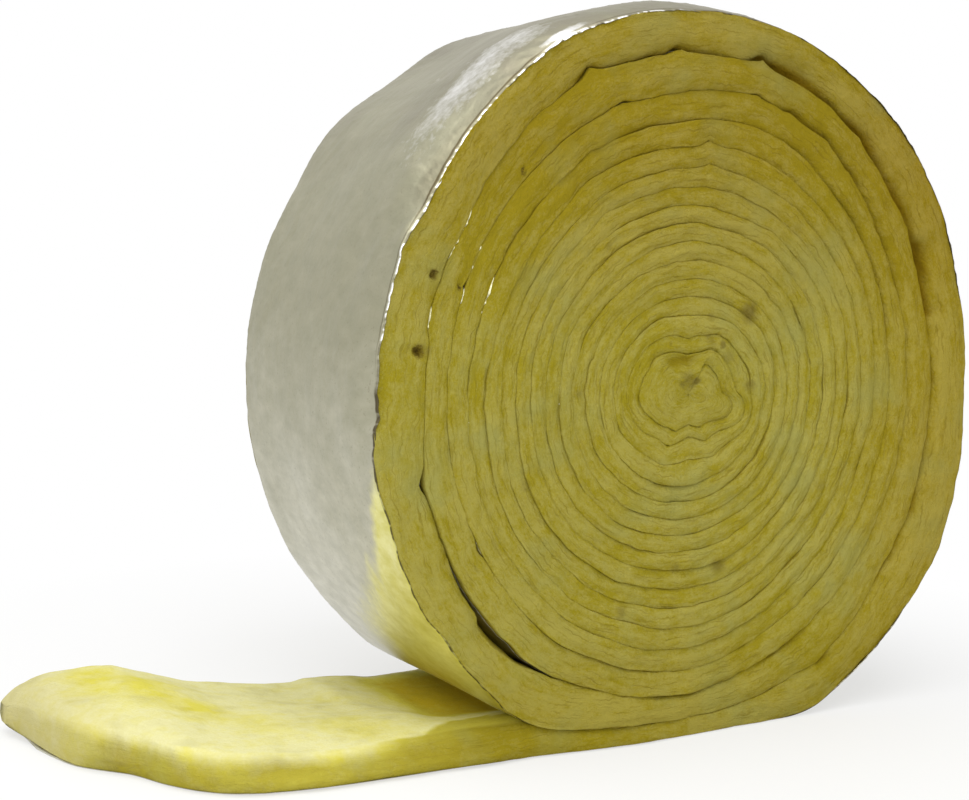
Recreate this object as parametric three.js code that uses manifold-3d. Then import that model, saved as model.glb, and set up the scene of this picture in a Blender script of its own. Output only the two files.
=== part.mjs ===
// Insulation roll: a blanket of glass wool with a foil laminate glued to one face, wound on itself
// with the foil outwards and no core, its last stretch laid out flat as a loose tail.
//
// Millimetres. +X runs across the roll, away from the tail. +Y runs along the roll's axis. +Z is up.
// The origin is on the floor, under the roll's centre, half way along its width.

import * as THREE from 'three';
import Module from 'manifold-3d';
import { mergeVertices } from 'three/addons/utils/BufferGeometryUtils.js';

// The blanket and its facing.
const BLANKET_WIDTH = 152.4;      // slit width, along the roll's axis
const FOIL_THICKNESS = 0.3;       // foil, scrim and paper laminate
const LAYER_CLEARANCE = 0.3;      // between the wool and the foil, and between a turn and the next

// The winding. Turns are counted from where the blanket leaves the floor, inwards.
const TURNS = 16.2;
const WOUND_PITCH = 8.1;          // a layer squeezed by the turns over it
const CURL_RADIUS = 22;           // foil of the first curl, round a wad of wool that nothing squeezes
const EYE_RADIUS = 1.5;           // hollow left in the middle of the wad
const SPRING_BACK = 32;           // how far the outermost turn has swollen off the tight winding
const NIP_SHARE = 0.1;            // share of a turn, before the bottom, over which the swelling halves
const STANDING_OVAL = 5;          // the outermost turn is taller than it is wide
const LYING_OVAL = 5;             // the first curls are wider than they are tall

// The roll on the floor.
const SETTLE = 18;                // how far the winding sinks on to its flat
const NIP_THICKNESS = 8;          // a layer squeezed between the roll and the floor

// The crescent slit where the outermost turn has lifted off the one below it.
const CRESCENT_DEPTH = 6;
const CRESCENT_START = 0.74;      // turns from the bottom
const CRESCENT_END = 0.94;

// The loose tail.
const TAIL_REACH = 293;           // from the roll's centre to the tail's end
const TAIL_ROOT_THICKNESS = 16;
const TAIL_END_THICKNESS = 26;    // the wool has risen back to its loose thickness here
const TAIL_HOLLOW = 6;            // dip in the tail's top, half way along
const TAIL_END_ROUND = 16;        // length over which the end's top edge rounds off
const TAIL_END_FACE = 0.45;       // share of the thickness left as a blunt end
const TORN_LENGTH = 56;           // the front corner is torn off, this far along the tail
const TORN_WIDTH = 74;            // and this far across it
const TORN_HOLLOW = 5;            // how far the torn line sinks in, half way along it

// Facets.
const STATIONS_PER_TURN = 32;
const FINE_TURNS = 6;             // the turns inside these take every second station
const TAIL_STATIONS = 12;
const END_STATIONS = 4;
const TEAR_STATIONS = 5;
const EYE_STATIONS = 5;

const FACING_COLOUR = 0xb9b7ae;
const WOOL_COLOUR = 0xa39a4f;

const WOOL_STANDOFF = FOIL_THICKNESS + LAYER_CLEARANCE;
const STATION = 1 / STATIONS_PER_TURN;
const { smoothstep, lerp } = THREE.MathUtils;

// The winding starts at the bottom of the roll and goes round by +X, up and over the top.
function angleAt(turn) {
  return 2 * Math.PI * (turn - 0.25);
}

// Tight winding at a constant pitch, plus a swelling that halves at each pass under the roll.
function roundRadius(turn) {
  const wholeTurns = Math.floor(turn);
  const nip = smoothstep(turn - wholeTurns, 1 - NIP_SHARE, 1);
  const swelling = SPRING_BACK * 2 ** -(wholeTurns + nip);
  return CURL_RADIUS + WOUND_PITCH * (TURNS - turn) + swelling;
}

const OUTER_RADIUS = roundRadius(0);

// The oval goes from lying at the centre to standing outside.
function freeRadius(turn) {
  const radius = roundRadius(turn);
  const oval = lerp(LYING_OVAL, -STANDING_OVAL, radius / OUTER_RADIUS);
  return radius + oval * Math.cos(2 * angleAt(turn));
}

const CENTRE_HEIGHT = freeRadius(0) - SETTLE;

// Outside of the foil: the free winding, stopped by the floor and by the squeezed layers on it.
function foilRadius(turn) {
  const down = -Math.sin(angleAt(turn));
  if (down <= 0) {
    return freeRadius(turn);
  }
  const layersBelow = Math.round(turn);
  const floorRadius = (CENTRE_HEIGHT - NIP_THICKNESS * layersBelow) / down;
  return Math.min(freeRadius(turn), floorRadius);
}

function crescent(turn) {
  const share = (turn - CRESCENT_START) / (CRESCENT_END - CRESCENT_START);
  return share > 0 && share < 1 ? CRESCENT_DEPTH * Math.sin(Math.PI * share) ** 2 : 0;
}

// Inside of the wool: it lies on the foil of the next turn in.
function woolInnerRadius(turn) {
  return foilRadius(turn + 1) + LAYER_CLEARANCE + crescent(turn);
}

function pointAt(turn, radius) {
  const angle = angleAt(turn);
  return new THREE.Vector2(radius * Math.cos(angle), CENTRE_HEIGHT + radius * Math.sin(angle));
}

// One side of the strip, from under the roll to a given turn, with close stations up to another.
function windingSide(fineTurns, lastTurn, radiusAt) {
  const points = [];
  let turn = STATION / 2;
  while (turn < lastTurn - STATION / 2) {
    points.push(pointAt(turn, radiusAt(turn)));
    turn += turn < fineTurns ? STATION : 2 * STATION;
  }
  points.push(pointAt(lastTurn, radiusAt(lastTurn)));
  return points;
}

// The wad in the first curl: the wool closes round the blanket's cut start, down to the eye.
function wadSide() {
  const angle = angleAt(TURNS);
  const clearOfStart = new THREE.Vector2(-Math.sin(angle), Math.cos(angle)).multiplyScalar(LAYER_CLEARANCE);
  const points = [pointAt(TURNS, woolInnerRadius(TURNS - 1)).add(clearOfStart)];
  points.push(pointAt(TURNS, EYE_RADIUS).add(clearOfStart));
  for (let i = 1; i <= EYE_STATIONS; i += 1) {
    points.push(pointAt(TURNS + i / (EYE_STATIONS + 1), EYE_RADIUS));
  }
  points.push(pointAt(TURNS, EYE_RADIUS));
  return points;
}

// Top of the tail where nothing lies on it, from its root (share 0) to its end (share 1).
function tailThickness(share) {
  const rise = lerp(TAIL_ROOT_THICKNESS, TAIL_END_THICKNESS, smoothstep(share, 0, 1));
  return rise - TAIL_HOLLOW * Math.sin(Math.PI * share);
}

// Top of the tail, from its free end to the floor point under the roll's centre.
function tailTop() {
  const underRoll = [];
  let turn = -STATION / 2;
  let point = pointAt(turn, woolInnerRadius(turn));
  while (point.y < TAIL_ROOT_THICKNESS) {
    underRoll.unshift(point);
    turn -= STATION;
    point = pointAt(turn, woolInnerRadius(turn));
  }

  const root = underRoll[0].x;
  const roundStart = TAIL_END_ROUND - TAIL_REACH;
  const open = [];
  for (let i = 0; i <= END_STATIONS; i += 1) {
    const lean = (1 - i / END_STATIONS) * Math.acos(TAIL_END_FACE);
    const along = roundStart - TAIL_END_ROUND * Math.sin(lean) / Math.sin(Math.acos(TAIL_END_FACE));
    const share = (root - along) / (root + TAIL_REACH);
    open.push(new THREE.Vector2(along, tailThickness(share) * Math.cos(lean)));
  }
  for (let i = 1; i < TAIL_STATIONS; i += 1) {
    const along = lerp(roundStart, root, i / TAIL_STATIONS);
    const share = (root - along) / (root + TAIL_REACH);
    open.push(new THREE.Vector2(along, tailThickness(share)));
  }
  return [...open, ...underRoll];
}

const wasm = await Module();
wasm.setup();

function toManifold(geometry) {
  geometry.deleteAttribute('normal');
  geometry.deleteAttribute('uv');
  const merged = mergeVertices(geometry, 1e-4);
  return new wasm.Manifold(new wasm.Mesh({
    numProp: 3,
    vertProperties: new Float32Array(merged.attributes.position.array),
    triVerts: new Uint32Array(merged.index.array),
  }));
}

function toGeometry(manifold) {
  const mesh = manifold.getMesh();
  const geometry = new THREE.BufferGeometry();
  geometry.setAttribute('position', new THREE.BufferAttribute(mesh.vertProperties, 3));
  geometry.setIndex(new THREE.BufferAttribute(mesh.triVerts, 1));
  geometry.computeVertexNormals();
  return geometry;
}

// What is missing from the tail's front corner, torn off along a hollow line.
function tornCorner() {
  const end = -TAIL_REACH;
  const front = -BLANKET_WIDTH / 2;
  const margin = 10;
  const plan = new THREE.Shape();
  plan.moveTo(end - margin, front + TORN_WIDTH);
  plan.lineTo(end, front + TORN_WIDTH);
  const hollow = new THREE.Vector2(end + TORN_LENGTH / 2 + 2 * TORN_HOLLOW, front + TORN_WIDTH / 2);
  plan.quadraticCurveTo(hollow.x, hollow.y, end + TORN_LENGTH, front);
  plan.lineTo(end + TORN_LENGTH, front - margin);
  plan.lineTo(end - margin, front - margin);
  const depth = TAIL_END_THICKNESS + 2 * margin;
  const block = new THREE.ExtrudeGeometry(plan, { depth, bevelEnabled: false, curveSegments: TEAR_STATIONS });
  block.translate(0, 0, -margin);
  return toManifold(block);
}

// The strip's section is drawn in X and Z and carried across the blanket's width.
function strip(outer, inner) {
  const section = new THREE.Shape([...outer, ...inner.reverse()]);
  const geometry = new THREE.ExtrudeGeometry(section, { depth: BLANKET_WIDTH, bevelEnabled: false });
  geometry.rotateX(Math.PI / 2);
  geometry.translate(0, BLANKET_WIDTH / 2, 0);
  return toGeometry(toManifold(geometry).subtract(tornCorner()));
}

function piece(name, geometry, material) {
  const mesh = new THREE.Mesh(geometry, new THREE.MeshStandardMaterial(material));
  mesh.name = name;
  return mesh;
}

function glassWoolBlanket() {
  const outer = windingSide(FINE_TURNS, TURNS, (turn) => foilRadius(turn) - WOOL_STANDOFF);
  const inner = windingSide(FINE_TURNS - 1, TURNS - 1, woolInnerRadius);
  const end = new THREE.Vector2(-TAIL_REACH, WOOL_STANDOFF);
  return strip([end, ...outer], [...tailTop(), ...inner, ...wadSide()]);
}

function foilFacing() {
  const outer = windingSide(FINE_TURNS, TURNS, foilRadius);
  const inner = windingSide(FINE_TURNS, TURNS, (turn) => foilRadius(turn) - FOIL_THICKNESS);
  const bottomEnd = new THREE.Vector2(-TAIL_REACH, 0);
  const topEnd = new THREE.Vector2(-TAIL_REACH, FOIL_THICKNESS);
  return strip([bottomEnd, ...outer], [topEnd, ...inner]);
}

const roll = new THREE.Group();
roll.add(
  piece('glass_wool_blanket', glassWoolBlanket(), { color: WOOL_COLOUR, roughness: 1, metalness: 0 }),
  piece('foil_facing', foilFacing(), { color: FACING_COLOUR, roughness: 0.4, metalness: 0.8 }),
);

export default roll;
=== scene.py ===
"""Insulation roll: a glass-wool blanket with a foil facing, wound on itself with the foil outwards and
no core, lying on its side with its last stretch laid out flat as a loose tail.

Metres. +X runs across the roll, away from the tail. +Y runs along the roll's axis, and its front end
looks to -Y. +Z is up. The origin is on the floor under the roll's centre, half way along its width.
"""

import itertools

import bpy
import numpy as np
from mathutils import Matrix, Vector


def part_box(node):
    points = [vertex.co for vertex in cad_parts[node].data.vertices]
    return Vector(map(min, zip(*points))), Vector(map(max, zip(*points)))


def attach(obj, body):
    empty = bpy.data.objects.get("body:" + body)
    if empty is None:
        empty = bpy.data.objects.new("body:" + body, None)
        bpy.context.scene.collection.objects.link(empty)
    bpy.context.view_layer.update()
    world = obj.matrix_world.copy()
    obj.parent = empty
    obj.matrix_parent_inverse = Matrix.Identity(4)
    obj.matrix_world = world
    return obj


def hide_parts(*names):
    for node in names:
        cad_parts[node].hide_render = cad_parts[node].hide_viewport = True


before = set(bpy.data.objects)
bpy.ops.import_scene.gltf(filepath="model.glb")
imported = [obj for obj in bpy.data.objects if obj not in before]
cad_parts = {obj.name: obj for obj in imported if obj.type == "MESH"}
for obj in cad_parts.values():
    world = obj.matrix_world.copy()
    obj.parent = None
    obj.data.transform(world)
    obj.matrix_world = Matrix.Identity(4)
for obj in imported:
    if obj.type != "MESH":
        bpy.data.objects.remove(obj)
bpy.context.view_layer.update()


# ---- The glass-wool blanket ---------------------------------------------------------------------
# One strip of yellow glass wool, an inch thick where it is loose, wound on itself. It is cut square
# along both sides: the cut faces are the roll's two ends, with a crease between every two layers.

MM = 0.001
low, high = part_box("foil_facing")
HALF_WIDTH = (high.y - low.y) / 2
TAIL_END = low.x

# The winding. A turn is a full circle of the blanket, counted from the floor inwards. It has sprung
# back: the outermost turns have swollen and stand upright, and all of it has settled on the floor.
WOUND_TURNS = 16.2
INNER_END = 16.42                 # the cut start of the blanket, in the wad at the middle
WOUND_PITCH = 8.1 * MM            # a layer squeezed by the turns over it
CURL_RADIUS = 22 * MM             # foil of the first curl, round a wad of wool that nothing squeezes
SPRING_BACK = 32 * MM             # how far the outermost turn has swollen off the tight winding
NIP_SHARE = 0.1                   # share of a turn over which the swelling halves
STANDING_OVAL = 5 * MM            # the outermost turn is taller than it is wide
LYING_OVAL = 5 * MM               # and the first curls are wider than they are tall
SETTLE = 18 * MM                  # how far the winding sinks on to its flat
NIP_THICKNESS = 8 * MM            # a layer squeezed between the roll and the floor
CORNER_ROUND = 7 * MM             # the corner of the flat is rounded where both radii are this close
FOIL_THICKNESS = 0.25 * MM
GLUE = 0.12 * MM                  # between the foil and its wool, and between a turn and the next
WOOL_BASE = FOIL_THICKNESS + GLUE


def ease(value, start, end):
    """Cubic ease from 0 at start to 1 at end."""
    share = np.clip((value - start) / (end - start), 0, 1)
    return share * share * (3 - 2 * share)


def hump(offset, width, power=2):
    """1 in the middle, falling off to both sides: e to the minus a power of offset over width."""
    return np.exp(-np.abs(offset / width) ** power)


def winding_angle(turn):
    """The winding starts at the bottom and goes round by +X, up and over the top."""
    return 2 * np.pi * (turn - 0.25)


def turn_at(line, degrees):
    """The turn at an angle, on the turn line with a given number."""
    return line + ((degrees + 90) % 360) / 360


def degrees_at(turn):
    """The angle of a turn in degrees, from 0 at +X to 360."""
    return (turn * 360 - 90) % 360


def round_radius(turn):
    """Constant pitch, plus a swelling that halves at each pass under the roll."""
    whole = np.floor(turn)
    nip = ease(turn - whole, 1 - NIP_SHARE, 1)
    return CURL_RADIUS + WOUND_PITCH * (WOUND_TURNS - turn) + SPRING_BACK * 2.0 ** -(whole + nip)


def free_radius(turn):
    """The round winding with an oval that goes from lying at the centre to standing outside."""
    radius = round_radius(turn)
    lie = LYING_OVAL - (LYING_OVAL + STANDING_OVAL) * radius / round_radius(0.0)
    return radius + lie * np.cos(2 * winding_angle(turn))


CENTRE_HEIGHT = float(free_radius(0.0)) - SETTLE


def foil_radius(turn):
    """The free winding, stopped on its lower half by the floor and by the layers squeezed on it: the
    smaller of the two radii, less a parabola where they come close, which rounds the corner."""
    down = np.maximum(-np.sin(winding_angle(turn)), 1e-6)
    free = free_radius(turn)
    stop = (CENTRE_HEIGHT - NIP_THICKNESS * np.round(turn)) / down
    close = np.maximum(1 - np.abs(free - stop) / CORNER_ROUND, 0)
    return np.minimum(free, stop) - 0.25 * CORNER_ROUND * close * close


def stacked(*values):
    """Arrays, spread to one shape, side by side along a new last axis."""
    return np.stack(np.broadcast_arrays(*values), -1)


NOISE_SIDE = 32                   # cells along each side of the noise's lattice, which then repeats


def soft_noise(points, cell, seed):
    """Random values from -1 to 1 on a lattice of cubes, blended across each cube by a cubic ease.
    The points are (..., 3). The cell is in millimetres, one size or one for each axis."""
    table = np.random.default_rng(seed).uniform(-1, 1, (NOISE_SIDE, NOISE_SIDE, NOISE_SIDE))
    scaled = points / (np.asarray(cell) * MM)
    corner = np.floor(scaled).astype(int)
    part = ease(scaled - corner, 0, 1)
    total = np.zeros(scaled.shape[:-1])
    for step in itertools.product((0, 1), repeat=3):
        weight = np.prod(np.where(step, part, 1 - part), axis=-1)
        spot = (corner + step) % NOISE_SIDE
        total += weight * table[spot[..., 0], spot[..., 1], spot[..., 2]]
    return total


def layered_noise(points, *layers):
    """A sum of soft noises, each given as its height, its cell and its seed."""
    return sum(height * soft_noise(points, cell, seed) for height, cell, seed in layers)


# Where the layers have crept out of their round: degrees, and in millimetres the radius, how far out,
# and the spread along the layers and across them.
CREEPS = [
    (330, 182, 6.5, 40, 13), (305, 165, 4.5, 26, 12), (0, 190, 2.0, 34, 8), (348, 190, 3.0, 20, 8),
    (26, 150, -4.5, 42, 14), (30, 192, 3.5, 34, 8), (62, 194, -1.5, 30, 10), (150, 160, -4.6, 28, 10),
    (178, 158, -6.0, 30, 9), (242, 182, 2.4, 22, 10), (268, 135, 3.6, 36, 20), (75, 136, 3.6, 30, 9),
    (150, 116, -3.2, 34, 12), (335, 90, -2.8, 40, 40),
]

# The outermost turn is fatter at its front half, and dented at its back edge: the same numbers.
FRONT_CREEPS = [
    (118, 192, 6.0, 34, 10), (150, 192, 5.0, 34, 10), (180, 192, 7.0, 34, 10), (212, 192, 5.0, 30, 9),
    (192, 176, 1.6, 16, 7),
]
BACK_CREEPS = [(121, 192, -5.5, 24, 12), (146, 192, -2.5, 14, 12)]

# The wad at the middle is lobed: degrees, and radius in millimetres of the foil round it.
WAD_LOBES = np.array([
    (3, 23.5), (19, 23.9), (37, 25.8), (48, 27.7), (61, 27.7), (70, 24.9), (91, 23.0), (115, 27.2),
    (136, 28.8), (150, 27.2), (163, 27.3), (176, 28.3), (190, 27.2), (208, 24.2), (233, 23.1), (247, 25.0),
    (258, 22.2), (272, 20.0), (284, 22.3), (296, 25.4), (307, 24.0), (317, 24.7), (330, 29.5), (338, 32.4),
    (347, 32.6), (354, 30.0)]).T
WAD_RADIUS = 27 * MM              # and its radius without the lobes

# Where the wool is gathered and the layers come to a ridge: turn line, degrees, and height and
# half-width in millimetres.
RIDGES = [
    (1, 113, 4.2, 5.5), (1, 95, 2.6, 5.5), (1, 77.5, 3.2, 5), (1, 31, 2.0, 5), (1, 195, 1.8, 6),
    (1, 300, 2.0, 6), (1, 333, 3.0, 6), (2, 108, 1.5, 4), (2, 77, 1.4, 4), (2, 68, 1.4, 3),
    (2, 58, 1.5, 3), (2, 49, 1.6, 3), (4, 87, 3.2, 5), (5, 86, 2.4, 5), (3, 40, 1.2, 4),
    (3, 118, 1.4, 4), (6, 120, 1.2, 4), (7, 60, 1.2, 4),
]
RIDGE_DEPTH = 6 * MM              # how far a ridge reaches across the layers
RIDGE_REACH = 50 * MM             # and into the roll from its front end
SUNK = (-3.6 * MM, 0, -3.4 * MM)  # how far the middle of the winding lies off the outer turns' centre
PACKED = 1.2 * MM                 # and how far its layers have drawn in


def offsets(points, degrees, radius):
    """How far points lie outwards of a place about the roll's centre, and sideways of it."""
    way = np.cos(np.radians(degrees)), np.sin(np.radians(degrees))
    x = points[..., 0] - radius * way[0]
    z = points[..., 2] - (CENTRE_HEIGHT + radius * way[1])
    return x * way[0] + z * way[1], z * way[0] - x * way[1]


def creep(points):
    """How far the layers have moved out at points (..., 3): soft waves of three sizes, longer along
    the roll's axis and calmer in the outermost turn, a bell-shaped lump for each listed creep, the
    wad's lobes, which fade out over the next curls, and a tent for each ridge."""
    radius = np.hypot(points[..., 0], points[..., 2] - CENTRE_HEIGHT)
    wave = MM * layered_noise(points, (0.65, (13, 60, 13), 12), (0.6, (5.5, 30, 5.5), 13))
    wave = wave * (1 - 0.8 * ease(radius, 155 * MM, 178 * MM))
    wave = wave + 0.9 * MM * soft_noise(points, (32, 120, 32), 11)
    front = ease(points[..., 1], 45 * MM, -35 * MM)
    for lumps, reach in ((CREEPS, 1), (FRONT_CREEPS, front), (BACK_CREEPS, 1 - front)):
        for degrees, *sizes in lumps:
            distance, height, along, across = np.multiply(sizes, MM)
            outwards, sideways = offsets(points, degrees, distance)
            bell = np.exp(-0.5 * ((outwards / across) ** 2 + (sideways / along) ** 2))
            wave = wave + height * bell * reach
    degrees = np.degrees(np.arctan2(points[..., 2] - CENTRE_HEIGHT, points[..., 0]))
    lobe = np.interp(degrees, *WAD_LOBES, period=360) * MM - WAD_RADIUS
    wave = wave + lobe * ease(radius, 46 * MM, 30 * MM) * np.minimum(radius / WAD_RADIUS, 1)
    for line, degrees, *sizes in RIDGES:
        height, half_width = np.multiply(sizes, MM)
        outwards, sideways = offsets(points, degrees, foil_radius(turn_at(line, degrees)))
        tent = hump(sideways, half_width, 1) * hump(outwards, RIDGE_DEPTH)
        wave = wave + height * tent * hump(points[..., 1] + HALF_WIDTH, RIDGE_REACH)
    return wave


def in_winding(turn, radius, across):
    """Points (..., 3) of the wound blanket: polar about the axis, moved out by the creep, which fades
    out on the floor and at the very middle, with the inner turns drawn in and sunk off centre."""
    turn, radius, across = np.broadcast_arrays(turn, radius, across)
    angle = winding_angle(turn)
    way = stacked(np.cos(angle), 0, np.sin(angle))
    points = radius[..., None] * way
    points[..., 1] = across
    points[..., 2] += CENTRE_HEIGHT
    inner = ease(radius, 172 * MM, 95 * MM)
    push = creep(points) * ease(points[..., 2], 0, 22 * MM) - PACKED * inner
    points += (push * ease(radius, 0, 18 * MM))[..., None] * way
    return points + inner[..., None] * SUNK


# The foil's length, summed over many short steps of the winding.
MANY_TURNS = np.linspace(0, INNER_END, 12000)
MANY_POINTS = foil_radius(MANY_TURNS) * np.exp(1j * winding_angle(MANY_TURNS))
MANY_LENGTHS = np.concatenate([[0], np.cumsum(np.abs(np.diff(MANY_POINTS)))])


def strip_length(turn):
    """Length of the foil from under the roll to a turn."""
    return np.interp(turn, MANY_TURNS, MANY_LENGTHS)


def along_noise(turn, cell, seed):
    """Soft noise along the strip, from -1 to 1."""
    return soft_noise(stacked(strip_length(turn), 0, 0), cell, seed)


def even_turns(start, end, step):
    """Turns from start to end at even steps of length along the foil."""
    first, last = strip_length(start), strip_length(end)
    count = max(2, int(round((last - first) / step)) + 1)
    return np.interp(np.linspace(first, last, count), MANY_LENGTHS, MANY_TURNS)


def tube_faces(first, rings, around):
    """Quads of a tube: ring after ring of points, each joined to the next and closed round."""
    ring, spot = np.meshgrid(np.arange(rings - 1), np.arange(around), indexing="ij")
    here = first + ring * around + spot
    beside = first + ring * around + (spot + 1) % around
    return stacked(here, here + around, beside + around, beside).reshape(-1, 4).tolist()


def bridge_faces(first, sides, next_first, next_sides):
    """Polygons between two rings of unlike counts. Both have the same sides, and on each side the
    ring with fewer edges shares out the other's edges evenly."""
    faces = []
    around, next_around = sum(sides), sum(next_sides)
    start = next_start = 0
    for edges, next_edges in zip(sides, next_sides):
        groups = min(edges, next_edges)
        cuts = np.round(np.linspace(0, edges, groups + 1)).astype(int)
        next_cuts = np.round(np.linspace(0, next_edges, groups + 1)).astype(int)
        for i in range(groups):
            here = np.arange(start + cuts[i], start + cuts[i + 1] + 1) % around + first
            there = np.arange(next_start + next_cuts[i], next_start + next_cuts[i + 1] + 1)
            there = there % next_around + next_first
            faces.append([*here[::-1].tolist(), *there.tolist()])
        start += edges
        next_start += next_edges
    return faces


def ring_body(name, stretches):
    """A closed mesh from stretches of rings, each (points (rings, around, 3), sides): tubes inside
    a stretch, bridges between them, and a polygon on the first and the last ring."""
    faces, first, previous = [], 0, None
    for points, sides in stretches:
        rings, around = points.shape[:2]
        if previous:
            faces += bridge_faces(*previous, first, sides)
        faces += tube_faces(first, rings, around)
        previous = (first + (rings - 1) * around, sides)
        first += rings * around
    first_around, last_around = (points.shape[1] for points, _ in (stretches[0], stretches[-1]))
    faces.append(list(range(first_around)))
    faces.append(list(range(first - 1, first - last_around - 1, -1)))
    mesh = bpy.data.meshes.new(name)
    vertices = np.concatenate([points.reshape(-1, 3) for points, _ in stretches])
    mesh.from_pydata(vertices.tolist(), [], faces)
    mesh.shade_smooth()
    body = bpy.data.objects.new(name, mesh)
    bpy.context.scene.collection.objects.link(body)
    return body


def carry(body, name, stretches):
    """Puts one number for each vertex on a mesh, for its material."""
    attribute = body.data.attributes.new(name, "FLOAT", "POINT")
    values = np.concatenate([np.asarray(stretch, np.float32).ravel() for stretch in stretches])
    attribute.data.foreach_set("value", values)


# The layers on the roll's ends. The cut face's points are at shares of the layer's thickness, from
# its foil inwards.
LAYER_STEP = 3.0 * MM             # length along the strip from one ring of points to the next
CUT_SHARES = np.array([0, 0.02, 0.055, 0.11, 0.19, 0.29, 0.4, 0.51, 0.62, 0.73, 0.83, 0.91, 0.965, 1])
BACK_SHARES = np.array([1, 0.95, 0.84, 0.68, 0.48, 0.28, 0.1, 0])
FOIL_CREASE = 0.22 * MM           # depth of the crease on a layer's foil side
INNER_CREASE = 0.7 * MM           # and on its inner side, where the wool slumps
PINCH = 0.24 * MM                 # how far a layer's edges swell over the seams at its cut faces
CROWN = 1.0 * MM                  # how far a squeezed layer swells out of the end
LOOSE_CROWN = 1.8 * MM            # and the loose outermost one
EDGE_DROP = 4.6 * MM              # how far in the outermost turn's foil bends at its edges
EDGE_MARGIN = 27 * MM             # and how wide the bend is
BROAD_DROP = 5.0 * MM             # how far in the wool's broad side lies there, clear of the foil
DENT_ROOM = 1.1 * MM              # and all round, so that the foil's dents stay clear of it
OPEN_START = 0.03                 # the outer side is open to view from this turn
OPEN_END = 0.95                   # to this one
CUT_BACK = 0.3 * MM               # how far the cut faces lie in from the blanket's nominal edge
EYE_RADIUS = 0.3 * MM             # of the hollow left in the middle of the wad
WAD_START = INNER_END - 1         # from here on the inner side closes on the eye

# The long slit at the lower left, where the outermost turn has lifted off the next.
# Degrees, and its width in millimetres.
CRESCENT = np.array([(205, 0), (210, 0.9), (214, 1.7), (220.5, 2.2), (222.5, 6.4), (226, 6.6), (229, 5.8),
                     (232, 4.2), (235, 2.2), (239, 0.8), (244, 0)]).T

# Small gaps over the gathered places: turn line, degrees, depth in millimetres, half-width in degrees.
GAPS = [
    (1, 113, 1.2, 1.6), (1, 95, 1.5, 1.5), (1, 77.5, 2.0, 1.6), (1, 13, 3.0, 1.0), (1, 194.5, 3.2, 1.8),
    (2, 108, 1.4, 1.1), (2, 77, 1.5, 1.0), (2, 66, 1.8, 1.2), (2, 158, 1.5, 0.9), (3, 286, 1.2, 1.2),
    (2, 210.5, 1.8, 1.5),
]

# Where a layer's inner side has slumped into the end: the turn line there, first and last angle in
# degrees, how deep and how wide in millimetres, and over how many degrees it sets in.
SLUMPS = [
    (1, 16, 80, 6.5, 5.0, 9), (1, 13, 27, 6.5, 9, 3), (2, 18, 72, 3.6, 3.2, 5), (1, 320, 373, 3.2, 3.2, 6),
    (1, 334, 338.5, 2.6, 7, 1.5), (1, 300, 303, 2.2, 7, 1.5), (3, 14, 66, 1.8, 2.4, 8),
    (1, 84, 116, 1.6, 3.0, 3), (3, 10, 50, 1.2, 2.0, 8), (1, 196, 250, 1.5, 3.5, 8),
    (1, 262, 300, 1.8, 3.0, 6),
]

# Hollows in the front end, such as the fold across the wad: x, z, half-length, half-height, depth.
HOLLOWS = MM * np.array([(-7, 185, 11, 3.6, 3.4), (-3, 175, 7, 3, 1.2), (12, 182, 3, 5, 1.2)])

# Small torn pits by the outer seams: x, z, radius, depth.
PITS = MM * np.array([
    (-144, 227, 1.8, 3.5), (-151, 193, 2.3, 4.5), (-99, 274, 1.3, 2.0), (-131, 222, 1.2, 1.5)])


def crescent(turn):
    """Width of the slit: it runs straight between its listed widths."""
    return np.where(turn < 1, np.interp(degrees_at(turn), *CRESCENT) * MM, 0)


def inner_radius(turn, open_share):
    """Inside of the wool: on the next turn's foil, lifted off it by a share of the slit and the small
    gaps, and closed round the eye in the wad of the first curl."""
    lift = sum(depth * MM * hump((turn - turn_at(line - 1, degrees)) * 360, half_width, 1.4)
               for line, degrees, depth, half_width in GAPS)
    lift = lift * open_share + crescent(turn) * (0.55 + 0.45 * open_share)
    return np.where(turn < WAD_START, foil_radius(turn + 1) + GLUE + lift, EYE_RADIUS)


def squeezed_out(points):
    """How far the weight on it pushes the wool out of the front end at the floor: a hump over x."""
    return 5.5 * MM * hump(points[..., 0] + 28 * MM, 62 * MM) * ease(points[..., 2], 34 * MM, 4 * MM)


def lies_flat(turn):
    """Where the layers lie flat against each other, 0 to 1: on the roll's left."""
    return ease(degrees_at(turn), 100, 126) * ease(degrees_at(turn), 258, 228)


def seam_strength(turn, seed):
    """How much a seam shows along the strip: two noises make it come and go. It is stronger in the
    outer turns, and fainter at the centre and where all lies flat."""
    strength = 0.34 + 0.6 * along_noise(turn, 24, seed) + 0.6 * along_noise(turn, 7, seed + 1)
    strength = strength * (1 + 0.5 * ease(turn, 3.5, 1.5)) * (1 - 0.25 * ease(turn, 11, 14))
    return np.clip(strength, 0, 1.1) * (1 - 0.65 * lies_flat(turn))


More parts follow.
